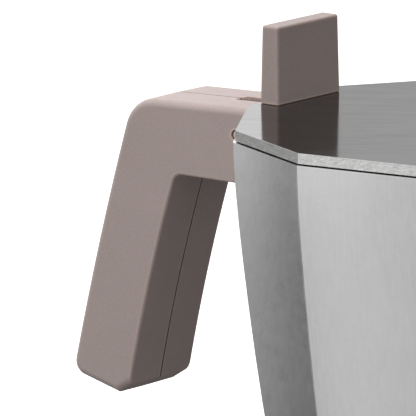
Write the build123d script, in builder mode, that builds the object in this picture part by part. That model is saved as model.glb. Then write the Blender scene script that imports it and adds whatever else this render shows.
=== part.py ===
from build123d import *
import os
from math import cos, pi, radians, sin

os.makedirs("parts", exist_ok=True)

# Stove-top moka pot with an eleven-sided body, in millimetres.
# Origin: centre of the base's underside. +Z is up, +X is the spout, -X is the handle.

# ---------------------------------------------------------------- driving dimensions
SIDES = 11
APOTHEM = cos(pi / SIDES)  # facet distance for a corner radius of one

LID_TOP = 150.0
LID_CORNER_R = 46.0
LID_THICKNESS = 2.05
LID_GAP = 0.25
RIM_TOP = LID_TOP - LID_THICKNESS - LID_GAP

# Corner radius of the upper chamber and of the boiler at each height, bottom to top.
CHAMBER_STATIONS = [(68.0, 36.4), (84.0, 38.8), (99.3, 41.25), (116.5, 43.6), (133.3, 45.5), (RIM_TOP, 46.4)]
BOILER_STATIONS = [(0.0, 46.5), (14.0, 43.9), (32.0, 41.0), (50.0, 38.5), (67.3, 36.4)]

CHAMBER_BASE = CHAMBER_STATIONS[0][0]
BOILER_TOP = BOILER_STATIONS[-1][0]

RIDGE_R = 0.5  # softened ridges between facets

# Screw joint between the boiler's neck and the chamber's skirt.
PITCH = 3.0
THREAD_TURNS = 2.5
NECK_R = 28.9
NECK_BORE_R = 26.2
NECK_TOP = 79.0
SKIRT_BORE_R = 30.4
THREAD_DEPTH = 1.1
THREAD_START = 70.3

# Seal stack, from the neck's rim up to the chamber's floor.
FLANGE_THICKNESS = 0.8
SEAT_GAP = 0.1
GASKET_THICKNESS = 3.3
PLATE_THICKNESS = 0.8
GASKET_BOTTOM = NECK_TOP + FLANGE_THICKNESS + SEAT_GAP
GASKET_TOP = GASKET_BOTTOM + GASKET_THICKNESS
CEILING = GASKET_TOP + PLATE_THICKNESS + SEAT_GAP
CHAMBER_FLOOR = CEILING + 4.0

# Hinge: a pin across the handle's arm, near the chamber.
PIN_X = -49.9
PIN_Z = LID_TOP - 7.1
PIN_R = 1.0
PIN_HALF_LENGTH = 9.25
KNUCKLE_R = 3.0
TAB_HALF_WIDTH = 1.8
SLOT_HALF_WIDTH = 2.1
SLOT_END_X = -55.5
SLOT_LEAD_IN = 0.8
SLOT_LEAD_IN_DEPTH = 1.8

# Handle: a square-section hook of two half shells that meet at y = 0.
HANDLE_HALF_WIDTH = 9.65
HANDLE_WALL = 2.2
HANDLE_DRAFT = 0.4
LUG_HALF_WIDTH = 7.15

# Lid knob: an upright slab.
KNOB_OUTER_X = -43.65
KNOB_INNER_X = -39.15
KNOB_HALF_WIDTH = 9.9
KNOB_HEIGHT = 15.45
KNOB_DRAFT = 1.0

# Safety valve, on the third facet round from the handle.
VALVE_ANGLE = 180.0 + 3 * 360.0 / SIDES
VALVE_Z = 46.0
VALVE_FACE_R = 39.4

SPOUT_TIP_X = 57.0
SPOUT_HALF_WIDTH = 12.5
SPOUT_ROOT_X = 42.7
SPOUT_BOTTOM = 116.0


# ---------------------------------------------------------------- shared shapes
def facets(stations):
    """Eleven-sided solid through the given (height, corner radius) stations, its ridges just softened."""
    levels = []
    for height, corner_r in stations:
        with BuildSketch(Plane.XY.offset(height)) as level:
            RegularPolygon(corner_r, SIDES, align=(Align.NONE, Align.NONE))
        levels.append(level.sketch)
    body = loft(levels)
    fillet(body.edges().filter_by(lambda edge: edge.bounding_box().size.Z > 20.0), RIDGE_R)


def thread(core_r, tip_r, start, phase):
    """Helical ridge from core_r to tip_r, turned by phase degrees about the axis."""
    root_half = 0.75
    tip_half = 0.35
    sink = 0.3 if tip_r > core_r else -0.3
    with BuildLine(Plane.XY.offset(start).rotated((0, 0, phase))) as coil:
        Helix(PITCH, PITCH * THREAD_TURNS, core_r)
    with BuildSketch(Plane(origin=coil.line @ 0, x_dir=radial(phase), z_dir=-tangent(phase))) as ridge:
        with BuildLine():
            Polyline(
                (-sink, -root_half - 0.05),
                (-sink, root_half + 0.05),
                (0, root_half),
                (tip_r - core_r, tip_half),
                (tip_r - core_r, -tip_half),
                (0, -root_half),
                close=True,
            )
        make_face()
    sweep(ridge.sketch, path=coil.line, is_frenet=True)


def radial(angle):
    """Unit vector away from the axis at this angle in degrees."""
    return Vector(cos(radians(angle)), sin(radians(angle)), 0)


def tangent(angle):
    """Unit vector along the direction of increasing angle."""
    return Vector(-sin(radians(angle)), cos(radians(angle)), 0)


def valve_plane(out=0.0):
    """Plane square to the valve's axis, out millimetres beyond the boiler's pad."""
    origin = radial(VALVE_ANGLE) * (VALVE_FACE_R + out) + Vector(0, 0, VALVE_Z)
    return Plane(origin=origin, x_dir=tangent(VALVE_ANGLE), z_dir=radial(VALVE_ANGLE))


def turned(points, plane=Plane.XZ):
    """Solid of revolution about the pot's axis through (radius, height) points."""
    with BuildSketch(plane) as section:
        with BuildLine():
            Polyline(*points, close=True)
        make_face()
    revolve(section.sketch, axis=Axis.Z)


def ring_holes(rings, hole_r, depth, height, mode=Mode.SUBTRACT):
    """Rings of round perforations, given as (ring radius, number of holes)."""
    with BuildSketch(Plane.XY.offset(height)) as holes:
        for ring_r, count in rings:
            with PolarLocations(ring_r, count):
                Circle(hole_r)
    extrude(holes.sketch, amount=depth, mode=mode)


def save(piece, name):
    """Labels a finished piece and writes its STEP file."""
    piece.part.label = name
    export_step(piece.part, f"parts/{name}.step")


# ---------------------------------------------------------------- boiler
BOILER_WALL = 2.8
BOILER_FLOOR = 3.0

with BuildPart() as boiler:
    facets(BOILER_STATIONS)
    with BuildSketch(Plane.XY.offset(BOILER_TOP)):
        Circle(NECK_R)
    extrude(amount=NECK_TOP - BOILER_TOP)
    thread(NECK_R, NECK_R + THREAD_DEPTH, THREAD_START, 0)
    # Flat round pad that the valve's washer sits on.
    with BuildSketch(valve_plane(-6.0)):
        Circle(8.5)
    extrude(amount=6.0)
    # Water space: follows the wall, then narrows to the neck's bore.
    with BuildSketch(Plane.XZ) as water_profile:
        with BuildLine():
            base_r = BOILER_STATIONS[1][1] * APOTHEM - BOILER_WALL
            top_r = BOILER_STATIONS[-1][1] * APOTHEM - BOILER_WALL - 2.6
            Polyline(
                (0, BOILER_FLOOR),
                (base_r, BOILER_FLOOR),
                (base_r, 12.0),
                (top_r, 63.0),
                (NECK_BORE_R, 69.0),
                (NECK_BORE_R, NECK_TOP + 1),
                (0, NECK_TOP + 1),
                close=True,
            )
        make_face()
        fillet(water_profile.vertices().group_by(Axis.Y)[0].sort_by(Axis.X)[-1:], 4.0)
    revolve(axis=Axis.Z, mode=Mode.SUBTRACT)
    # Threaded hole for the valve.
    with BuildSketch(valve_plane(1.0)):
        Circle(4.55)
    extrude(amount=-16.0, mode=Mode.SUBTRACT)
    # Shallow ring turned into the underside.
    with BuildSketch():
        Circle(38.0)
        Circle(35.5, mode=Mode.SUBTRACT)
    extrude(amount=0.6, mode=Mode.SUBTRACT)
save(boiler, "boiler")

# ---------------------------------------------------------------- safety valve
VALVE_AXIS = Axis(Vector(0, 0, VALVE_Z), radial(VALVE_ANGLE))
SHANK_LENGTH = 7.2
WASHER_THICKNESS = 1.0
HEX_HEIGHT = 4.0
BARREL_END = 9.4
VALVE_BORE_R = 2.9
SEAT_DEPTH = 1.3
PLUNGER_HEAD = 1.2
PLUNGER_R = 2.4
STEM_R = 0.85
STEM_END = 10.6
SPRING_WIRE_R = 0.25
SPRING_R = 1.75
SPRING_TURNS = 7

with BuildPart() as valve_washer:
    with BuildSketch(valve_plane()):
        Circle(7.2)
        Circle(4.6, mode=Mode.SUBTRACT)
    extrude(amount=WASHER_THICKNESS)
save(valve_washer, "valve_washer")

with BuildPart() as valve_body:
    with BuildSketch(valve_plane(-SHANK_LENGTH)):
        Circle(4.5)
    extrude(amount=SHANK_LENGTH + WASHER_THICKNESS)
    with BuildSketch(valve_plane(WASHER_THICKNESS)):
        RegularPolygon(6.5, 6, major_radius=False)
    extrude(amount=HEX_HEIGHT)
    chamfer(valve_body.faces().sort_by(VALVE_AXIS)[-1].edges(), 0.5)
    with BuildSketch(valve_plane(WASHER_THICKNESS + HEX_HEIGHT - 1.0)):
        Circle(4.4)
    extrude(amount=BARREL_END - WASHER_THICKNESS - HEX_HEIGHT + 1.0)
    with BuildSketch(valve_plane(-SHANK_LENGTH + SEAT_DEPTH)):
        Circle(VALVE_BORE_R)
    extrude(amount=20.0, mode=Mode.SUBTRACT)
    with BuildSketch(valve_plane(-SHANK_LENGTH - 1.0)):
        Circle(1.5)
    extrude(amount=20.0, mode=Mode.SUBTRACT)
save(valve_body, "valve_body")

PLUNGER_BASE = -SHANK_LENGTH + SEAT_DEPTH + 0.05

with BuildPart() as valve_plunger:
    with BuildSketch(valve_plane(PLUNGER_BASE)):
        Circle(PLUNGER_R)
    extrude(amount=PLUNGER_HEAD)
    with BuildSketch(valve_plane(PLUNGER_BASE)):
        Circle(STEM_R)
    extrude(amount=STEM_END - PLUNGER_BASE)
    chamfer(valve_plunger.edges().sort_by(VALVE_AXIS)[-1], 0.3)
save(valve_plunger, "valve_plunger")

with BuildPart() as valve_retainer:
    with BuildSketch(valve_plane(BARREL_END - 1.4)):
        Circle(VALVE_BORE_R)
        Circle(STEM_R + 0.15, mode=Mode.SUBTRACT)
    extrude(amount=1.4)
save(valve_retainer, "valve_retainer")

SPRING_FROM = PLUNGER_BASE + PLUNGER_HEAD + SPRING_WIRE_R + 0.05
SPRING_TO = BARREL_END - 1.4 - SPRING_WIRE_R - 0.05

with BuildPart() as valve_spring:
    with BuildLine() as coil:
        spring_length = SPRING_TO - SPRING_FROM
        spring_start = valve_plane(SPRING_FROM).origin
        Helix(spring_length / SPRING_TURNS, spring_length, SPRING_R, spring_start, radial(VALVE_ANGLE))
    with BuildSketch(Plane(origin=coil.line @ 0, z_dir=coil.line % 0)):
        Circle(SPRING_WIRE_R)
    sweep(path=coil.line, is_frenet=True)
save(valve_spring, "valve_spring")

# ---------------------------------------------------------------- funnel and its sieve
FUNNEL_R = 25.6
SHEET = 0.8
CUP_FLOOR = 58.0
STEM_OUTER_R = 5.0
STEM_BOTTOM = 8.0
SIEVE_THICKNESS = 0.6
flange_top = NECK_TOP + FLANGE_THICKNESS

with BuildPart() as funnel:
    turned(
        [
            (STEM_OUTER_R - SHEET, STEM_BOTTOM),
            (STEM_OUTER_R, STEM_BOTTOM),
            (STEM_OUTER_R, CUP_FLOOR - 5.0),
            (FUNNEL_R, CUP_FLOOR),
            (FUNNEL_R, NECK_TOP),
            (NECK_R - 0.4, NECK_TOP),
            (NECK_R - 0.4, flange_top),
            (FUNNEL_R - SHEET, flange_top),
            (FUNNEL_R - SHEET, CUP_FLOOR + SHEET),
            (STEM_OUTER_R - SHEET, CUP_FLOOR - 5.0 + SHEET),
        ]
    )
save(funnel, "funnel")

with BuildPart() as funnel_sieve:
    with BuildSketch(Plane.XY.offset(CUP_FLOOR + SHEET)):
        Circle(FUNNEL_R - SHEET - 0.15)
    extrude(amount=SIEVE_THICKNESS)
    ring_holes([(4.0, 6), (8.0, 12), (12.0, 18), (16.0, 24), (20.0, 30)], 0.7, SIEVE_THICKNESS, CUP_FLOOR + SHEET)
save(funnel_sieve, "funnel_sieve")

# ---------------------------------------------------------------- gasket and filter plate
with BuildPart() as gasket:
    with BuildSketch(Plane.XY.offset(GASKET_BOTTOM)):
        Circle(SKIRT_BORE_R - 0.2)
        Circle(23.5, mode=Mode.SUBTRACT)
    extrude(amount=GASKET_THICKNESS)
    fillet(gasket.edges(), 0.3)
save(gasket, "gasket")

with BuildPart() as filter_plate:
    with BuildSketch(Plane.XY.offset(GASKET_TOP)):
        Circle(28.0)
    extrude(amount=PLATE_THICKNESS)
    ring_holes([(3.5, 6), (7.0, 12), (10.5, 18), (14.0, 24), (17.5, 30), (21.0, 36)], 0.55, PLATE_THICKNESS, GASKET_TOP)
save(filter_plate, "filter_plate")

# ---------------------------------------------------------------- upper chamber
CHAMBER_WALL = 2.2
COLUMN_SPIGOT_R = 6.0
SCREW_X = -59.6
SCREW_R = 1.5
LUG_END_X = -63.0
LUG_BOTTOM = 138.2
LUG_TOP = 145.7
CLEARANCE = 0.04


def beak(tip_x, half_width, root_x, bottom, top):
    """Three-sided beak that grows from a point low on the front ridge up to the rim."""
    low_x = 41.5
    small = 0.04
    levels = []
    for height, scale in ((bottom, small), (top, 1.0)):
        back_x = low_x + (root_x - low_x) * scale
        front_x = low_x + (tip_x - low_x) * scale
        with BuildSketch(Plane.XY.offset(height)) as level:
            with BuildLine():
                Polyline((back_x, half_width * scale), (back_x, -half_width * scale), (front_x, 0), close=True)
            make_face()
        levels.append(level.sketch)
    loft(levels, ruled=True)


def block(x_from, x_to, half_width, z_from, z_to, mode=Mode.ADD):
    """Box that is symmetric about y = 0."""
    with Locations(((x_from + x_to) / 2, 0, (z_from + z_to) / 2)):
        Box(x_to - x_from, 2 * half_width, z_to - z_from, mode=mode)


def pin_hole(radius, half_length=30.0, mode=Mode.SUBTRACT):
    """Cylinder along Y through the hinge's centre."""
    with BuildSketch(Plane.XZ) as section:
        with Locations((PIN_X, PIN_Z)):
            Circle(radius)
    extrude(section.sketch, amount=half_length, both=True, mode=mode)


with BuildPart() as beak_hollow:
    beak(SPOUT_TIP_X - 3.2, SPOUT_HALF_WIDTH - 0.6, SPOUT_ROOT_X - 6.0, SPOUT_BOTTOM + 5.0, RIM_TOP + 0.5)

with BuildPart() as upper_chamber:
    facets(CHAMBER_STATIONS)
    beak(SPOUT_TIP_X, SPOUT_HALF_WIDTH + 2.0, SPOUT_ROOT_X - 4.0, SPOUT_BOTTOM, RIM_TOP)
    block(LUG_END_X, -40.0, LUG_HALF_WIDTH, LUG_BOTTOM, LUG_TOP)
    # Coffee space, round inside.
    with BuildSketch(Plane.XZ) as coffee_profile:
        floor_r = CHAMBER_STATIONS[1][1] * APOTHEM - CHAMBER_WALL - 0.6
        rim_r = CHAMBER_STATIONS[-1][1] * APOTHEM - CHAMBER_WALL
        with BuildLine():
            Line((0, CHAMBER_FLOOR), (floor_r, CHAMBER_FLOOR))
            ThreePointArc((floor_r, CHAMBER_FLOOR), (rim_r - 3.2, 118.0), (rim_r, RIM_TOP))
            Polyline((rim_r, RIM_TOP), (rim_r, RIM_TOP + 1), (0, RIM_TOP + 1), (0, CHAMBER_FLOOR))
        make_face()
        fillet(coffee_profile.vertices().group_by(Axis.Y)[0].sort_by(Axis.X)[-1:], 5.0)
    revolve(axis=Axis.Z, mode=Mode.SUBTRACT)
    add(beak_hollow.part, mode=Mode.SUBTRACT)
    # Skirt: screw bore, seat for the seal, and the shallow space above the filter plate.
    with BuildSketch(Plane.XY.offset(CHAMBER_BASE)):
        Circle(SKIRT_BORE_R)
    extrude(amount=CEILING - CHAMBER_BASE, mode=Mode.SUBTRACT)
    with BuildSketch(Plane.XY.offset(CEILING)):
        Circle(22.5)
    extrude(amount=1.6, mode=Mode.SUBTRACT)
    with BuildSketch(Plane.XY.offset(CEILING)):
        Circle(COLUMN_SPIGOT_R)
    extrude(amount=6.0, mode=Mode.SUBTRACT)
    thread(SKIRT_BORE_R, SKIRT_BORE_R - THREAD_DEPTH, THREAD_START, 180)
    # Gap between the lug's two ears, and the notch in the rim, for the lid's hinge tab.
    block(SLOT_END_X, -44.0, SLOT_HALF_WIDTH, LUG_BOTTOM - 1, LUG_TOP + 1, mode=Mode.SUBTRACT)
    block(-47.0, -38.0, SLOT_HALF_WIDTH, LUG_TOP - 0.2, RIM_TOP + 1, mode=Mode.SUBTRACT)
    pin_hole(PIN_R + CLEARANCE)
    with BuildSketch(Plane.XY.offset(LUG_BOTTOM)):
        with Locations((SCREW_X, 0)):
            Circle(SCREW_R + CLEARANCE)
    extrude(amount=6.6, mode=Mode.SUBTRACT)
save(upper_chamber, "upper_chamber")

# ---------------------------------------------------------------- coffee column and its cap
COLUMN_BORE_R = 3.0
COLUMN_TOP = 133.0
COLUMN_TOP_R = 4.8
CAP_R = 6.9
CAP_TOP = 138.5
CAP_BOTTOM = 129.5

with BuildPart() as coffee_column:
    turned(
        [
            (COLUMN_BORE_R, CEILING + 1.6),
            (COLUMN_SPIGOT_R, CEILING + 1.6),
            (COLUMN_SPIGOT_R, CHAMBER_FLOOR),
            (9.5, CHAMBER_FLOOR),
            (9.5, CHAMBER_FLOOR + 1.2),
            (7.2, CHAMBER_FLOOR + 3.0),
            (COLUMN_TOP_R, COLUMN_TOP),
            (COLUMN_BORE_R, COLUMN_TOP),
        ]
    )
save(coffee_column, "coffee_column")

with BuildPart() as column_cap:
    turned(
        [
            (0, CAP_TOP),
            (0, CAP_TOP - 1.2),
            (CAP_R - SHEET, CAP_TOP - 2.6),
            (CAP_R - SHEET, CAP_BOTTOM),
            (CAP_R, CAP_BOTTOM),
            (CAP_R, CAP_TOP - 2.0),
        ]
    )
    # Three ribs stand the cap on the column's end and leave the coffee room to spill out.
    with BuildSketch(Plane.XY.offset(COLUMN_TOP)):
        with PolarLocations(4.3, 3):
            Rectangle(4.0, 1.2)
    extrude(amount=CAP_TOP - 1.4 - COLUMN_TOP)
save(column_cap, "column_cap")

# ---------------------------------------------------------------- handle
ARM_TOP_NEAR = 148.6
ARM_TOP_FAR = 147.65
ARM_BOTTOM = 133.3
INNER_CORNER = (-65.2, ARM_BOTTOM)
OUTER_CORNER = (-76.4, ARM_TOP_FAR)
GRIP_OUTER_END = (-92.1, 90.2)
GRIP_INNER_END = (-77.5, 86.45)
GRIP_OUTER_MIDDLE = (-85.7, 116.0)
GRIP_INNER_MIDDLE = (-71.65, 111.6)
GRIP_LEAN = 0.27
GRIP_TIP_CHAMFER = 2.9
HANDLE_EDGE_R = 1.5
INNER_EDGE_R = 0.5
SEAM_DEPTH = 0.15
SEAM_HALF_WIDTH = 0.12
CAVITY_HALF_WIDTH = 7.45

PEG_R = 1.4
PEG_LENGTH = 2.0
PEG_PLACES = [(-80.1, 108.0), (-83.8, 94.5), (-70.5, 140.6)]
RIB_HEIGHTS = [127.0, 116.0, 101.0]

with BuildSketch(Plane.XZ) as handle_outline:
    with BuildLine():
        Polyline(INNER_CORNER, (-43.85, ARM_BOTTOM), (-44.95, ARM_TOP_NEAR), OUTER_CORNER)
        ThreePointArc(OUTER_CORNER, GRIP_OUTER_MIDDLE, GRIP_OUTER_END)
        Line(GRIP_OUTER_END, GRIP_INNER_END)
        ThreePointArc(GRIP_INNER_END, GRIP_INNER_MIDDLE, INNER_CORNER)
    make_face()
    for corner, corner_r in ((OUTER_CORNER, 8.0), (GRIP_OUTER_END, 3.0), (INNER_CORNER, 2.0)):
        fillet(handle_outline.vertices().sort_by_distance((corner[0], corner[1], 0))[0], corner_r)
    # Flat at the grip's lower inner corner.
    tip = handle_outline.vertices().sort_by_distance((GRIP_INNER_END[0], GRIP_INNER_END[1], 0))[0]
    chamfer(tip, GRIP_TIP_CHAMFER)

with BuildSketch(Plane.XZ) as cavity_outline:
    add(handle_outline.sketch_local)
    offset(amount=-HANDLE_WALL)

with BuildSketch(Plane.XZ) as seam_outline:
    add(handle_outline.sketch_local)
    offset(amount=-SEAM_DEPTH, mode=Mode.SUBTRACT)


def is_inner_edge(edge):
    """True for the side face's edges under the arm and along the inside of the grip."""
    middle = edge @ 0.5
    inside_x = INNER_CORNER[0] - GRIP_LEAN * (ARM_BOTTOM - middle.Z) - 4.0
    above_tip = middle.Z > GRIP_INNER_END[1] + GRIP_TIP_CHAMFER
    return above_tip and middle.Z < ARM_BOTTOM + 2.5 and middle.X > inside_x


def is_outer_edge(edge):
    """True for the side face's other edges, except the upright one against the chamber."""
    return not is_inner_edge(edge) and edge.center().X < -45.5


with BuildPart() as half_handle:
    extrude(handle_outline.sketch, amount=HANDLE_HALF_WIDTH, taper=HANDLE_DRAFT)
    side = half_handle.faces().sort_by(Axis.Y)[0]
    fillet(side.edges().filter_by(is_outer_edge), HANDLE_EDGE_R)
    side = half_handle.faces().sort_by(Axis.Y)[0]
    fillet(side.edges().filter_by(is_inner_edge), INNER_EDGE_R)
    extrude(cavity_outline.sketch, amount=CAVITY_HALF_WIDTH, mode=Mode.SUBTRACT)
    extrude(seam_outline.sketch, amount=SEAM_HALF_WIDTH, mode=Mode.SUBTRACT)
    # Solid seat under the lug for the handle's screw, then ribs across the grip.
    with Locations((-59.5, -CAVITY_HALF_WIDTH / 2 - 0.5, 136.5)):
        Box(6.4, CAVITY_HALF_WIDTH + 1.0, 3.0)
    for height in RIB_HEIGHTS:
        with Locations((-73.1 - GRIP_LEAN * (ARM_BOTTOM - height), -CAVITY_HALF_WIDTH / 2 - 0.25, height)):
            Box(11.0, CAVITY_HALF_WIDTH, 1.6, rotation=(0, 14, 0))
    for x, z in PEG_PLACES:
        with Locations((x, -CAVITY_HALF_WIDTH / 2, z)):
            Cylinder(3.0, CAVITY_HALF_WIDTH, rotation=(90, 0, 0))
    # Room for the chamber's lug and for the lid's hinge tab.
    with Locations(((LUG_END_X - 0.4 - 42.0) / 2, 0, (LUG_BOTTOM + LUG_TOP) / 2)):
        Box(-42.0 - LUG_END_X + 0.4, 2 * CAVITY_HALF_WIDTH, LUG_TOP - LUG_BOTTOM + 0.3, mode=Mode.SUBTRACT)
    block(SLOT_END_X, -42.0, SLOT_HALF_WIDTH, LUG_TOP - 1, LID_TOP, mode=Mode.SUBTRACT)
    with BuildSketch(Plane.XZ) as lead_in:
        with BuildLine():
            top = LID_TOP - 1.5
            Polyline(
                (SLOT_END_X + 0.1, top - SLOT_LEAD_IN_DEPTH),
                (SLOT_END_X + 0.1, top),
                (SLOT_END_X - SLOT_LEAD_IN, top),
                (SLOT_END_X, top - SLOT_LEAD_IN_DEPTH),
                close=True,
            )
        make_face()
    extrude(amount=SLOT_HALF_WIDTH, mode=Mode.SUBTRACT)
    pin_hole(PIN_R + CLEARANCE)
    with BuildSketch(Plane.XZ.offset(HANDLE_HALF_WIDTH - 1.2)) as pin_mouth:
        with Locations((PIN_X, PIN_Z)):
            Circle(PIN_R + 0.15)
    extrude(amount=3.0, mode=Mode.SUBTRACT)
    with BuildSketch(Plane.XY.offset(ARM_BOTTOM)):
        with Locations((SCREW_X, 0)):
            Circle(3.2)
    extrude(amount=2.4, mode=Mode.SUBTRACT)
    with BuildSketch(Plane.XY.offset(ARM_BOTTOM)):
        with Locations((SCREW_X, 0)):
            Circle(SCREW_R + 0.1)
    extrude(amount=6.0, mode=Mode.SUBTRACT)

with BuildPart() as handle_shell_right:
    add(half_handle.part)
    for x, z in PEG_PLACES:
        with Locations((x, -PEG_LENGTH / 2, z)):
            Cylinder(PEG_R + 0.05, PEG_LENGTH + 0.4, rotation=(90, 0, 0), mode=Mode.SUBTRACT)
save(handle_shell_right, "handle_shell_right")

with BuildPart() as handle_shell_left:
    add(half_handle.part.mirror(Plane.XZ))
    for x, z in PEG_PLACES:
        with Locations((x, -PEG_LENGTH / 2 + 0.5, z)):
            Cylinder(PEG_R, PEG_LENGTH + 1.0, rotation=(90, 0, 0))
save(handle_shell_left, "handle_shell_left")

with BuildPart() as handle_screw:
    with BuildSketch(Plane.XY.offset(ARM_BOTTOM + 0.4)):
        with Locations((SCREW_X, 0)):
            Circle(2.9)
    extrude(amount=2.0)
    with BuildSketch(Plane.XY.offset(ARM_BOTTOM + 2.4)):
        with Locations((SCREW_X, 0)):
            Circle(SCREW_R)
    extrude(amount=8.4)
    with BuildSketch(Plane.XY.offset(ARM_BOTTOM + 0.4)):
        with Locations((SCREW_X, 0)):
            Rectangle(3.6, 0.8)
            Rectangle(0.8, 3.6)
    extrude(amount=1.1, mode=Mode.SUBTRACT)
save(handle_screw, "handle_screw")

with BuildPart() as hinge_pin:
    with BuildSketch(Plane.XZ):
        with Locations((PIN_X, PIN_Z)):
            Circle(PIN_R)
    extrude(amount=PIN_HALF_LENGTH, both=True)
    fillet(hinge_pin.edges().filter_by(GeomType.CIRCLE), 0.15)
save(hinge_pin, "hinge_pin")

# ---------------------------------------------------------------- lid
LID_BOTTOM = LID_TOP - LID_THICKNESS
LID_CHAMFER = 0.04
BRACKET_THICKNESS = 2.0
RIVET_PLACES = [(-35.5, 4.2), (-35.5, -4.2)]
RIVET_R = 1.2
RIVET_DEPTH = 1.2  # into the lid from below, so the top stays plain
KNOB_X = (KNOB_OUTER_X + KNOB_INNER_X) / 2
KNOB_SCREW_SPACING = 11.0
INSERT_R = 1.5
INSERT_TOP = LID_TOP + 6.2
KNOB_SCREW_R = 0.95

with BuildPart() as lid_plate:
    with BuildSketch(Plane.XY.offset(LID_BOTTOM)):
        RegularPolygon(LID_CORNER_R, SIDES, align=(Align.NONE, Align.NONE))
        with BuildLine():
            tip_x = SPOUT_TIP_X - 0.5
            Polyline((SPOUT_ROOT_X - 4.5, 14.1), (SPOUT_ROOT_X - 4.5, -14.1), (tip_x, 0), close=True)
        make_face()
    extrude(amount=LID_THICKNESS)
    chamfer(lid_plate.faces().sort_by(Axis.Z)[-1].edges(), LID_CHAMFER)
    chamfer(lid_plate.faces().sort_by(Axis.Z)[0].edges(), LID_CHAMFER)
    with BuildSketch(Plane.XY.offset(LID_BOTTOM)):
        with Locations(*RIVET_PLACES):
            Circle(RIVET_R)
    extrude(amount=RIVET_DEPTH + CLEARANCE, mode=Mode.SUBTRACT)
    with BuildSketch(Plane.XY.offset(LID_BOTTOM)):
        with Locations((KNOB_X, 0)):
            with GridLocations(0, KNOB_SCREW_SPACING, 1, 2):
                Circle(KNOB_SCREW_R + 0.15)
    extrude(amount=LID_THICKNESS, mode=Mode.SUBTRACT)
    with BuildSketch(Plane.XY.offset(LID_BOTTOM)):
        with Locations((KNOB_X, 0)):
            with GridLocations(0, KNOB_SCREW_SPACING, 1, 2):
                Circle(2.0)
    extrude(amount=1.1, mode=Mode.SUBTRACT)
save(lid_plate, "lid_plate")

with BuildPart() as hinge_bracket:
    tongue_bottom = LID_BOTTOM - BRACKET_THICKNESS
    with BuildSketch(Plane.XZ) as tab_profile:
        with BuildLine():
            Polyline(
                (PIN_X, PIN_Z),
                (PIN_X - 1.0, PIN_Z + 2.82),
                (PIN_X + 2.4, LID_BOTTOM),
                (-31.5, LID_BOTTOM),
                (-31.5, tongue_bottom),
                (PIN_X + 3.6, tongue_bottom),
                (PIN_X + 2.9, PIN_Z),
                close=True,
            )
        make_face()
        with Locations((PIN_X, PIN_Z)):
            Circle(KNUCKLE_R)
    extrude(amount=TAB_HALF_WIDTH, both=True)
    block(-39.5, -31.5, 7.0, tongue_bottom, LID_BOTTOM)
    pin_hole(PIN_R + 0.06)
    with BuildSketch(Plane.XY.offset(tongue_bottom)):
        with Locations(*RIVET_PLACES):
            Circle(RIVET_R)
    extrude(amount=BRACKET_THICKNESS, mode=Mode.SUBTRACT)
save(hinge_bracket, "hinge_bracket")

with BuildPart() as bracket_rivets:
    with BuildSketch(Plane.XY.offset(tongue_bottom)):
        with Locations(*RIVET_PLACES):
            Circle(RIVET_R)
    extrude(amount=BRACKET_THICKNESS + RIVET_DEPTH)
    with BuildSketch(Plane.XY.offset(tongue_bottom - 0.9)):
        with Locations(*RIVET_PLACES):
            Circle(2.2)
    extrude(amount=0.9)
save(bracket_rivets, "bracket_rivets")

with BuildPart() as knob:
    with BuildSketch(Plane.XY.offset(LID_TOP)):
        with Locations((KNOB_X, 0)):
            Rectangle(KNOB_INNER_X - KNOB_OUTER_X, 2 * KNOB_HALF_WIDTH)
    extrude(amount=KNOB_HEIGHT, taper=KNOB_DRAFT)
    fillet(knob.edges().filter_by(lambda e: abs(e.center().Z - LID_TOP) > 1.0), 0.5)
    chamfer(knob.faces().sort_by(Axis.Z)[0].edges(), 0.2)
    with BuildSketch(Plane.XY.offset(LID_TOP)):
        with Locations((KNOB_X, 0)):
            with GridLocations(0, KNOB_SCREW_SPACING, 1, 2):
                Circle(INSERT_R)
    extrude(amount=INSERT_TOP - LID_TOP + 0.6, mode=Mode.SUBTRACT)
save(knob, "knob")

with BuildPart() as knob_inserts:
    with BuildSketch(Plane.XY.offset(LID_TOP + 0.2)):
        with Locations((KNOB_X, 0)):
            with GridLocations(0, KNOB_SCREW_SPACING, 1, 2):
                Circle(INSERT_R)
                Circle(KNOB_SCREW_R, mode=Mode.SUBTRACT)
    extrude(amount=INSERT_TOP - LID_TOP - 0.2)
save(knob_inserts, "knob_inserts")

with BuildPart() as knob_screws:
    with BuildSketch(Plane.XY.offset(LID_BOTTOM)):
        with Locations((KNOB_X, 0)):
            with GridLocations(0, KNOB_SCREW_SPACING, 1, 2):
                Circle(1.9)
    extrude(amount=1.0)
    with BuildSketch(Plane.XY.offset(LID_BOTTOM + 1.0)):
        with Locations((KNOB_X, 0)):
            with GridLocations(0, KNOB_SCREW_SPACING, 1, 2):
                Circle(KNOB_SCREW_R)
    extrude(amount=6.4)
save(knob_screws, "knob_screws")
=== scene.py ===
import math

import bpy
from mathutils import Matrix, Vector


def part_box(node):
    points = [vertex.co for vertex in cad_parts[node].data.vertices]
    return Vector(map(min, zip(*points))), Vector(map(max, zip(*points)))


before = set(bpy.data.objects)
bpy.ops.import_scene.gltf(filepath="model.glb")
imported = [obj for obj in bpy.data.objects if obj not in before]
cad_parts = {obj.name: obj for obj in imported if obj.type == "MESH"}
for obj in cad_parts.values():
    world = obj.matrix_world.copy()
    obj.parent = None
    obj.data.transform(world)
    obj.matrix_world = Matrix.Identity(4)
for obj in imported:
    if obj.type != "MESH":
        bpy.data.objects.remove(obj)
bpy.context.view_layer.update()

MM = 0.001
SIDES = 11
SEAM_HALF_WIDTH = 0.15 * MM
LID_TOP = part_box("lid_plate")[1].z


# ---------------------------------------------------------------- small helpers
def linear(value):
    """Linear light from a 0-255 display value."""
    c = value / 255.0
    return c / 12.92 if c <= 0.04045 else ((c + 0.055) / 1.055) ** 2.4


def srgb(red, green, blue):
    """Linear colour from 0-255 display values."""
    return (linear(red), linear(green), linear(blue), 1.0)


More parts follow.
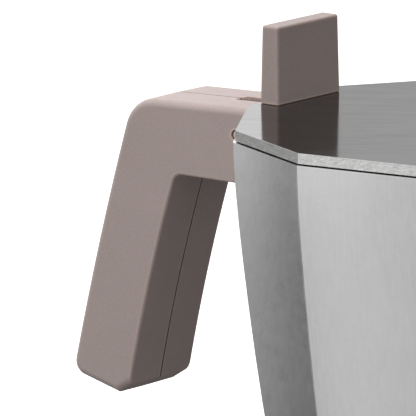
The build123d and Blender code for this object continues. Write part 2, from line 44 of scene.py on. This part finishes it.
class Graph:
    """Adds nodes to one node tree, each wired to its inputs as it is made."""

    def __init__(self, tree):
        self.tree = tree

    def add(self, kind, **settings):
        node = self.tree.nodes.new(kind)
        for name, value in settings.items():
            setattr(node, name, value)
        return node

    def feed(self, socket, value):
        if isinstance(value, bpy.types.NodeSocket):
            self.tree.links.new(value, socket)
        else:
            socket.default_value = value

    def math(self, operation, a, b=0.0, clamp=False):
        node = self.add("ShaderNodeMath", operation=operation, use_clamp=clamp)
        self.feed(node.inputs[0], a)
        self.feed(node.inputs[1], b)
        return node.outputs[0]

    def place(self):
        """Position in the part's own frame, in metres."""
        return self.add("ShaderNodeTexCoord").outputs["Object"]

    def normal(self):
        """Surface normal in the part's own frame."""
        return self.add("ShaderNodeTexCoord").outputs["Normal"]

    def split(self, vector):
        node = self.add("ShaderNodeSeparateXYZ")
        self.feed(node.inputs[0], vector)
        return node.outputs

    def join(self, x, y, z):
        node = self.add("ShaderNodeCombineXYZ")
        self.feed(node.inputs[0], x)
        self.feed(node.inputs[1], y)
        self.feed(node.inputs[2], z)
        return node.outputs[0]

    def turn(self, vector, angles=(0.0, 0.0, 0.0), scale=(1.0, 1.0, 1.0)):
        """Rotates the pattern by angles in degrees, then stretches it."""
        turned = self.add("ShaderNodeMapping")
        self.feed(turned.inputs["Vector"], vector)
        turned.inputs["Rotation"].default_value = [math.radians(a) for a in angles]
        stretched = self.add("ShaderNodeMapping")
        self.feed(stretched.inputs["Vector"], turned.outputs[0])
        stretched.inputs["Scale"].default_value = scale
        return stretched.outputs[0]

    def noise(self, vector, per_metre, detail=2.0, roughness=0.5, distortion=0.0):
        node = self.add("ShaderNodeTexNoise")
        self.feed(node.inputs["Vector"], vector)
        node.inputs["Scale"].default_value = per_metre
        node.inputs["Detail"].default_value = detail
        node.inputs["Roughness"].default_value = roughness
        node.inputs["Distortion"].default_value = distortion
        return node.outputs[0]

    def span(self, value, low, high, to_low=0.0, to_high=1.0):
        """Maps low..high smoothly to to_low..to_high and clamps."""
        node = self.add("ShaderNodeMapRange", interpolation_type="SMOOTHSTEP")
        self.feed(node.inputs["Value"], value)
        self.feed(node.inputs["From Min"], low)
        self.feed(node.inputs["From Max"], high)
        self.feed(node.inputs["To Min"], to_low)
        self.feed(node.inputs["To Max"], to_high)
        return node.outputs[0]

    def blend(self, amount, a, b):
        """Mixes two colours."""
        node = self.add("ShaderNodeMix", data_type="RGBA")
        self.feed(node.inputs["Factor"], amount)
        self.feed(node.inputs["A"], a)
        self.feed(node.inputs["B"], b)
        return node.outputs["Result"]

    def ramp(self, value, stops):
        """Grey ramp through (position, level) stops."""
        node = self.add("ShaderNodeValToRGB")
        node.color_ramp.interpolation = "EASE"
        marks = node.color_ramp.elements
        while len(marks) < len(stops):
            marks.new(0.5)
        for mark, (position, level) in zip(marks, stops):
            mark.position = position
            mark.color = (level, level, level, 1.0)
        self.feed(node.inputs[0], value)
        return node.outputs[0]

    def bump(self, height, depth, under=None):
        """Bump from a height, scaled by depth in metres, on top of the bump under it."""
        node = self.add("ShaderNodeBump")
        self.feed(node.inputs["Height"], height)
        node.inputs["Distance"].default_value = depth
        node.inputs["Strength"].default_value = 1.0
        if under is not None:
            self.feed(node.inputs["Normal"], under)
        return node.outputs[0]

    def rounded_edge(self, radius, samples=6):
        """0 on flat faces, towards 1 within radius of an outer edge."""
        soft = self.add("ShaderNodeBevel", samples=samples)
        soft.inputs["Radius"].default_value = radius
        hard = self.add("ShaderNodeNewGeometry")
        product = self.add("ShaderNodeVectorMath", operation="DOT_PRODUCT")
        self.feed(product.inputs[0], soft.outputs[0])
        self.feed(product.inputs[1], hard.outputs["Normal"])
        return self.span(product.outputs["Value"], 0.999, 0.93)


def material(name):
    """New node material, and its graph and main shader."""
    made = bpy.data.materials.new(name)
    made.use_nodes = True
    graph = Graph(made.node_tree)
    return made, graph, made.node_tree.nodes["Principled BSDF"]


def finish(node, made):
    """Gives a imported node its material."""
    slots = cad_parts[node].data.materials
    slots.clear()
    slots.append(made)


# ---------------------------------------------------------------- camera
CAMERA_YAW = 0.6737  # radians, to the left of +Y
CAMERA_PITCH = 0.1984  # radians, downwards
CAMERA_ROLL = 0.0036
CAMERA_PLACE = (0.842667, -1.136451)
CAMERA_ABOVE_LID = 0.267495
LENS = 648.8


def make_camera():
    yaw = CAMERA_YAW
    pitch = CAMERA_PITCH
    roll = CAMERA_ROLL
    place = Vector((*CAMERA_PLACE, LID_TOP + CAMERA_ABOVE_LID))
    ahead = Vector((-math.sin(yaw) * math.cos(pitch), math.cos(yaw) * math.cos(pitch), -math.sin(pitch)))
    level = Vector((math.cos(yaw), math.sin(yaw), 0.0))
    down = ahead.cross(level)
    right = level * math.cos(roll) + down * math.sin(roll)
    up = -(down * math.cos(roll) - level * math.sin(roll))
    data = bpy.data.cameras.new("camera")
    data.sensor_width = 36.0
    data.lens = LENS
    data.clip_start = 0.1
    data.clip_end = 50.0
    camera = bpy.data.objects.new("camera", data)
    bpy.context.scene.collection.objects.link(camera)
    rows = [[right[i], up[i], -ahead[i], place[i]] for i in range(3)]
    camera.matrix_world = Matrix(rows + [[0.0, 0.0, 0.0, 1.0]])
    bpy.context.scene.camera = camera


# ---------------------------------------------------------------- light and floor
# Grey levels as (degrees from +X, level), for directions below, at and above the horizon.
LOW_BAND = [
    (0, 0.05), (90, 0.12), (150, 0.17), (170, 0.12), (195, 0.14),
    (222, 0.3), (238, 0.7), (262, 0.57), (300, 0.2), (360, 0.05),
]
LEVEL_BAND = [
    (0, 0.06), (90, 0.2), (150, 0.55), (168, 0.78), (194, 0.28),
    (222, 0.35), (238, 0.9), (262, 0.56), (300, 0.26), (360, 0.06),
]
MIDDLE_BAND = [
    (0, 0.12), (60, 0.25), (115, 0.84), (140, 0.9), (170, 0.7),
    (220, 0.6), (260, 0.8), (300, 0.45), (360, 0.12),
]
HIGH_BAND = [
    (0, 0.6), (90, 0.6), (180, 1.1), (250, 1.4), (300, 1.0),
    (360, 0.6),
]
OVERHEAD = 0.95


def make_surroundings():
    """White studio: each band of height round the horizon has its own grey at each bearing."""
    world = bpy.data.worlds.new("studio")
    bpy.context.scene.world = world
    world.use_nodes = True
    graph = Graph(world.node_tree)
    x, y, z = graph.split(graph.add("ShaderNodeTexCoord").outputs["Generated"])
    bearing = graph.math("DIVIDE", graph.math("ARCTAN2", y, x), 2 * math.pi)
    bearing = graph.math("FRACT", graph.math("ADD", bearing, 1.0))

    def around(stops):
        return graph.ramp(bearing, [(degrees / 360.0, level) for degrees, level in stops])

    below = graph.blend(graph.span(z, -0.38, -0.17), around(LOW_BAND), around(LEVEL_BAND))
    upper = graph.blend(graph.span(z, 0.75, 0.98), around(HIGH_BAND), (OVERHEAD, OVERHEAD, OVERHEAD, 1.0))
    above = graph.blend(graph.span(z, 0.25, 0.7), around(MIDDLE_BAND), upper)
    sky = graph.blend(graph.span(z, -0.1, 0.15), below, above)
    background = world.node_tree.nodes["Background"]
    graph.feed(background.inputs["Color"], sky)
    background.inputs["Strength"].default_value = 1.0


def area(name, place, target, size, watts):
    """Square white lamp that the camera does not see."""
    data = bpy.data.lights.new(name, "AREA")
    data.shape = "RECTANGLE"
    data.size = size
    data.size_y = size
    data.energy = watts
    lamp = bpy.data.objects.new(name, data)
    lamp.visible_camera = False
    bpy.context.scene.collection.objects.link(lamp)
    lamp.location = place
    lamp.rotation_euler = (Vector(target) - Vector(place)).to_track_quat("-Z", "Y").to_euler()
    return lamp


def make_back_panel():
    """Small white board behind the handle, mirrored by the part of the lid nearest the hinge."""
    size = 0.3
    away = Vector((-0.6118, 0.7662, 0.197))
    sideways = Vector((0.7814, 0.624, 0.0))
    middle = sideways * (-0.028 - size / 2) + Vector((0.0, 0.0, LID_TOP)) + away * 0.45
    area("back_panel", middle, middle - away, size, 0.23)


def make_floor():
    """Pale floor that glows a little and is hidden from reflections, so that the ground stays white."""
    reach = 12.0
    mesh = bpy.data.meshes.new("floor")
    corners = [(-reach, -reach, 0), (reach, -reach, 0), (reach, reach, 0), (-reach, reach, 0)]
    mesh.from_pydata(corners, [], [(0, 1, 2, 3)])
    floor = bpy.data.objects.new("floor", mesh)
    bpy.context.scene.collection.objects.link(floor)
    floor.visible_glossy = False
    floor.visible_diffuse = False
    made, _, shader = material("floor")
    shader.inputs["Base Color"].default_value = (0.9, 0.9, 0.9, 1.0)
    shader.inputs["Roughness"].default_value = 0.9
    shader.inputs["Specular IOR Level"].default_value = 0.1
    shader.inputs["Emission Color"].default_value = (1.0, 1.0, 1.0, 1.0)
    shader.inputs["Emission Strength"].default_value = 0.35
    mesh.materials.append(made)


make_camera()
make_surroundings()
make_floor()
middle = (0.0, 0.0, 0.09)
overhead = area("overhead", (-0.15, -0.1, 1.1), middle, 1.0, 8.0)
overhead.visible_glossy = False
area("front_left", (-0.75, -1.1, 0.55), middle, 0.8, 1.8)
make_back_panel()
bpy.context.scene.view_settings.view_transform = "Standard"


# ---------------------------------------------------------------- metals
def facet_crown(graph, across_mm):
    """Height in metres of a barely crowned facet: highest along its middle, across_mm lower at its ridges."""
    x, y, z = graph.split(graph.place())
    step = 2 * math.pi / SIDES
    bearing = graph.math("ADD", graph.math("ARCTAN2", y, x), 4 * math.pi)
    local = graph.math("SUBTRACT", graph.math("MODULO", bearing, step), step / 2)
    sideways = graph.math("DIVIDE", local, step / 2)
    upright = graph.math("ABSOLUTE", graph.split(graph.normal())[2])
    depth = graph.span(upright, 0.5, 0.9, -across_mm * MM, 0.0)
    return graph.math("MULTIPLY", graph.math("MULTIPLY", sideways, sideways), depth)


CAST_TONE = 0.80
CROWN_MM = 0.6


def cast_aluminium(name):
    """Satin facets: faint upright grain, cloudy tone, fine dark specks, brighter worn ridges."""
    made, graph, shader = material(name)
    place = graph.place()
    clouds = graph.noise(place, 55.0, detail=4.0, roughness=0.6)
    mottle = graph.noise(place, 420.0, detail=3.0, roughness=0.65)
    grain = graph.noise(graph.turn(place, scale=(1.0, 1.0, 0.07)), 1500.0, detail=3.0, roughness=0.6)
    specks = graph.span(graph.noise(place, 1900.0, detail=2.0), 0.66, 0.80)
    ridge = graph.rounded_edge(0.0006)

    level = graph.math("ADD", CAST_TONE, graph.math("MULTIPLY", graph.math("SUBTRACT", clouds, 0.5), 0.10))
    level = graph.math("ADD", level, graph.math("MULTIPLY", graph.math("SUBTRACT", mottle, 0.5), 0.07))
    level = graph.math("ADD", level, graph.math("MULTIPLY", graph.math("SUBTRACT", grain, 0.5), 0.10))
    level = graph.math("SUBTRACT", level, graph.math("MULTIPLY", specks, 0.08))
    level = graph.math("ADD", level, graph.math("MULTIPLY", ridge, 0.08), clamp=True)
    warm = graph.math("MULTIPLY", level, 0.988)
    shader.inputs["Metallic"].default_value = 1.0
    graph.feed(shader.inputs["Base Color"], graph.join(level, warm, warm))
    rough = graph.math("ADD", 0.30, graph.math("MULTIPLY", graph.math("SUBTRACT", mottle, 0.5), 0.16))
    rough = graph.math("ADD", rough, graph.math("MULTIPLY", graph.math("SUBTRACT", clouds, 0.5), 0.12))
    graph.feed(shader.inputs["Roughness"], rough)
    under = graph.bump(facet_crown(graph, CROWN_MM), 1.0)
    under = graph.bump(clouds, 0.00012, under)
    under = graph.bump(grain, 0.000012, under)
    under = graph.bump(mottle, 0.00002, under)
    graph.feed(shader.inputs["Normal"], under)
    return made


def lid_metal():
    """Rolled plate: near-mirror faces with faint lines, and sawn edges with short slanting scratches."""
    made, graph, shader = material("lid_plate_metal")
    place = graph.place()
    lines = graph.noise(graph.turn(place, (0, 0, -32), (0.035, 1.0, 1.0)), 2600.0, detail=3.0, roughness=0.6)
    haze = graph.noise(place, 90.0, detail=3.0, roughness=0.6)
    smears = graph.noise(graph.turn(place, (0, 0, -32), (0.2, 1.0, 1.0)), 260.0, detail=3.0, roughness=0.6)
    upright = graph.split(graph.normal())[2]
    flat = graph.span(graph.math("ABSOLUTE", upright), 0.55, 0.95)

    slanted = graph.turn(place, (38, 0, 20), (0.12, 1.0, 0.35))
    scratches = graph.noise(slanted, 3600.0, detail=3.0, roughness=0.75, distortion=0.6)
    along = graph.noise(graph.turn(place, (0, 0, 0), (1.0, 1.0, 9.0)), 520.0, detail=4.0, roughness=0.7)
    edge_tone = graph.span(scratches, 0.3, 0.7, 0.62, 0.84)
    edge_tone = graph.math("ADD", edge_tone, graph.span(along, 0.3, 0.7, -0.09, 0.09))
    face_tone = graph.span(lines, 0.3, 0.7, 0.50, 0.60)
    face_tone = graph.math("ADD", face_tone, graph.span(smears, 0.3, 0.7, -0.03, 0.03))
    tone = graph.add("ShaderNodeMix", data_type="FLOAT")
    graph.feed(tone.inputs["Factor"], flat)
    graph.feed(tone.inputs["A"], edge_tone)
    graph.feed(tone.inputs["B"], face_tone)
    tone = tone.outputs["Result"]
    shader.inputs["Metallic"].default_value = 1.0
    graph.feed(shader.inputs["Base Color"], graph.join(tone, tone, graph.math("MULTIPLY", tone, 0.992)))
    # Dulls the plate at grazing angles, where bare metal would mirror the knob too brightly.
    shader.inputs["Specular Tint"].default_value = (0.5, 0.5, 0.5, 1.0)
    face_rough = graph.span(haze, 0.3, 0.7, 0.085, 0.115)
    face_rough = graph.math("ADD", face_rough, graph.span(lines, 0.3, 0.7, -0.01, 0.01))
    rough = graph.add("ShaderNodeMix", data_type="FLOAT")
    graph.feed(rough.inputs["Factor"], flat)
    graph.feed(rough.inputs["A"], graph.span(scratches, 0.3, 0.7, 0.34, 0.26))
    graph.feed(rough.inputs["B"], face_rough)
    graph.feed(shader.inputs["Roughness"], rough.outputs["Result"])
    edge_bump = graph.math("MULTIPLY", scratches, graph.math("SUBTRACT", 1.0, flat))
    under = graph.bump(edge_bump, 0.00005)
    under = graph.bump(lines, 0.0000012, under)
    graph.feed(shader.inputs["Normal"], under)
    return made


def turned_metal(name, color, roughness=0.25, lines_per_metre=5000.0, along=(0, 0, 1), wear=0.06):
    """Lathe-turned or drawn metal with fine rings across the named axis and a little tarnish."""
    made, graph, shader = material(name)
    place = graph.place()
    squeeze = [1.0 if part else 0.05 for part in along]
    rings = graph.noise(graph.turn(place, scale=squeeze), lines_per_metre, detail=2.0, roughness=0.6)
    tarnish = graph.noise(place, 260.0, detail=4.0, roughness=0.65)
    dark = tuple(c * (1.0 - 4 * wear) for c in color[:3]) + (1.0,)
    shader.inputs["Metallic"].default_value = 1.0
    graph.feed(shader.inputs["Base Color"], graph.blend(graph.span(tarnish, 0.42, 0.75), color, dark))
    graph.feed(shader.inputs["Roughness"], graph.span(tarnish, 0.3, 0.75, roughness - 0.06, roughness + 0.14))
    graph.feed(shader.inputs["Normal"], graph.bump(rings, 0.00001))
    return made


# ---------------------------------------------------------------- plastics and rubber
def satin_plastic(name, tint, seam=False):
    """Warm grey moulded plastic with a fine spark-eroded skin, and rounded edges lightened by a painted
    highlight.
    """
    made, graph, shader = material(name)
    place = graph.place()
    grain = graph.noise(place, 2600.0, detail=2.0, roughness=0.55)
    patches = graph.noise(place, 60.0, detail=3.0, roughness=0.5)
    highlight_and_roughness_noise = graph.noise(place, 300.0, detail=4.0, roughness=0.6)
    # Painted highlight: rounded edges are lifted patchily towards the pale tint.
    edge = graph.math("MULTIPLY", graph.rounded_edge(0.0009), graph.span(highlight_and_roughness_noise, 0.2, 0.8, 0.7, 1.0))
    if seam:
        aside = graph.math("ABSOLUTE", graph.split(place)[1])
        # No painted highlight on the lips of the seam groove.
        edge = graph.math("MULTIPLY", edge, graph.span(aside, SEAM_HALF_WIDTH, 2.5 * SEAM_HALF_WIDTH))
    base = srgb(*tint)
    darker = tuple(c * 0.93 for c in base[:3]) + (1.0,)
    lighter = tuple(min(1.0, c * 1.07) for c in base[:3]) + (1.0,)
    # Pale tint for the light grain specks and for the painted edge highlight.
    grain_and_highlight_tint = srgb(tint[0] + 50, tint[1] + 38, tint[2] + 28)
    color = graph.blend(patches, darker, lighter)
    color = graph.blend(graph.span(grain, 0.35, 0.75, 0.0, 0.16), color, grain_and_highlight_tint)
    # Painted highlight on the rounded edges.
    color = graph.blend(graph.math("MULTIPLY", edge, 0.9), color, grain_and_highlight_tint)
    if seam:
        # Painted shade: a dark line along the seam groove between the two handle shells.
        seam_shade = graph.span(aside, SEAM_HALF_WIDTH, 2 * SEAM_HALF_WIDTH, 0.55, 0.0)
        color = graph.blend(seam_shade, color, srgb(52, 44, 40))
    graph.feed(shader.inputs["Base Color"], color)
    graph.feed(shader.inputs["Roughness"], graph.span(highlight_and_roughness_noise, 0.25, 0.75, 0.50, 0.58))
    shader.inputs["Subsurface Weight"].default_value = 0.15
    shader.inputs["Subsurface Radius"].default_value = (1.0, 0.75, 0.6)
    shader.inputs["Subsurface Scale"].default_value = 0.0012
    under = graph.bump(grain, 0.00002)
    graph.feed(shader.inputs["Normal"], graph.bump(patches, 0.0001, under))
    return made


def silicone():
    """White food-grade rubber with faint flow marks and a coffee stain."""
    made, graph, shader = material("gasket_silicone")
    place = graph.place()
    flow = graph.noise(place, 180.0, detail=4.0, roughness=0.6)
    grain = graph.noise(place, 2200.0, detail=2.0)
    stain = graph.span(graph.noise(place, 45.0, detail=4.0, roughness=0.65), 0.5, 0.75)
    color = graph.blend(graph.math("MULTIPLY", stain, 0.35), srgb(228, 226, 218), srgb(186, 160, 128))
    graph.feed(shader.inputs["Base Color"], color)
    graph.feed(shader.inputs["Roughness"], graph.span(flow, 0.3, 0.7, 0.48, 0.66))
    shader.inputs["Subsurface Weight"].default_value = 0.2
    shader.inputs["Subsurface Scale"].default_value = 0.0015
    graph.feed(shader.inputs["Normal"], graph.bump(grain, 0.00002, graph.bump(flow, 0.00005)))
    return made


finish("upper_chamber", cast_aluminium("chamber_metal"))
finish("boiler", cast_aluminium("boiler_metal"))
finish("lid_plate", lid_metal())
TAUPE = (163, 149, 146)
# The knob is the handle's plastic in a darker tint: painted shade.
KNOB_SHADED_TAUPE = (149, 136, 133)
plastic = satin_plastic("handle_plastic", TAUPE, seam=True)
finish("handle_shell_left", plastic)
finish("handle_shell_right", plastic)
finish("knob", satin_plastic("knob_plastic", KNOB_SHADED_TAUPE))

steel = turned_metal("screw_steel", srgb(206, 204, 200), 0.28)
finish("handle_screw", steel)
finish("knob_screws", steel)
finish("valve_spring", turned_metal("spring_wire", srgb(188, 188, 192), 0.22))
finish("hinge_pin", turned_metal("pin_steel", srgb(228, 214, 202), 0.3, along=(0, 1, 0)))
brass = turned_metal("valve_brass", srgb(214, 178, 108), 0.24, along=(1, 1, 0), wear=0.08)
for node in ("valve_body", "valve_plunger", "valve_retainer", "knob_inserts"):
    finish(node, brass)
finish("valve_washer", turned_metal("washer_copper", srgb(204, 140, 108), 0.36, wear=0.1))
sheet = turned_metal("drawn_aluminium", srgb(222, 221, 218), 0.3, lines_per_metre=3800.0)
for node in ("funnel", "funnel_sieve", "filter_plate"):
    finish(node, sheet)
spun = turned_metal("column_aluminium", srgb(226, 225, 222), 0.26, lines_per_metre=4200.0)
for node in ("coffee_column", "column_cap"):
    finish(node, spun)
rolled = turned_metal("bracket_aluminium", srgb(218, 217, 214), 0.3, lines_per_metre=3000.0, along=(0, 1, 0))
for node in ("hinge_bracket", "bracket_rivets"):
    finish(node, rolled)
finish("gasket", silicone())
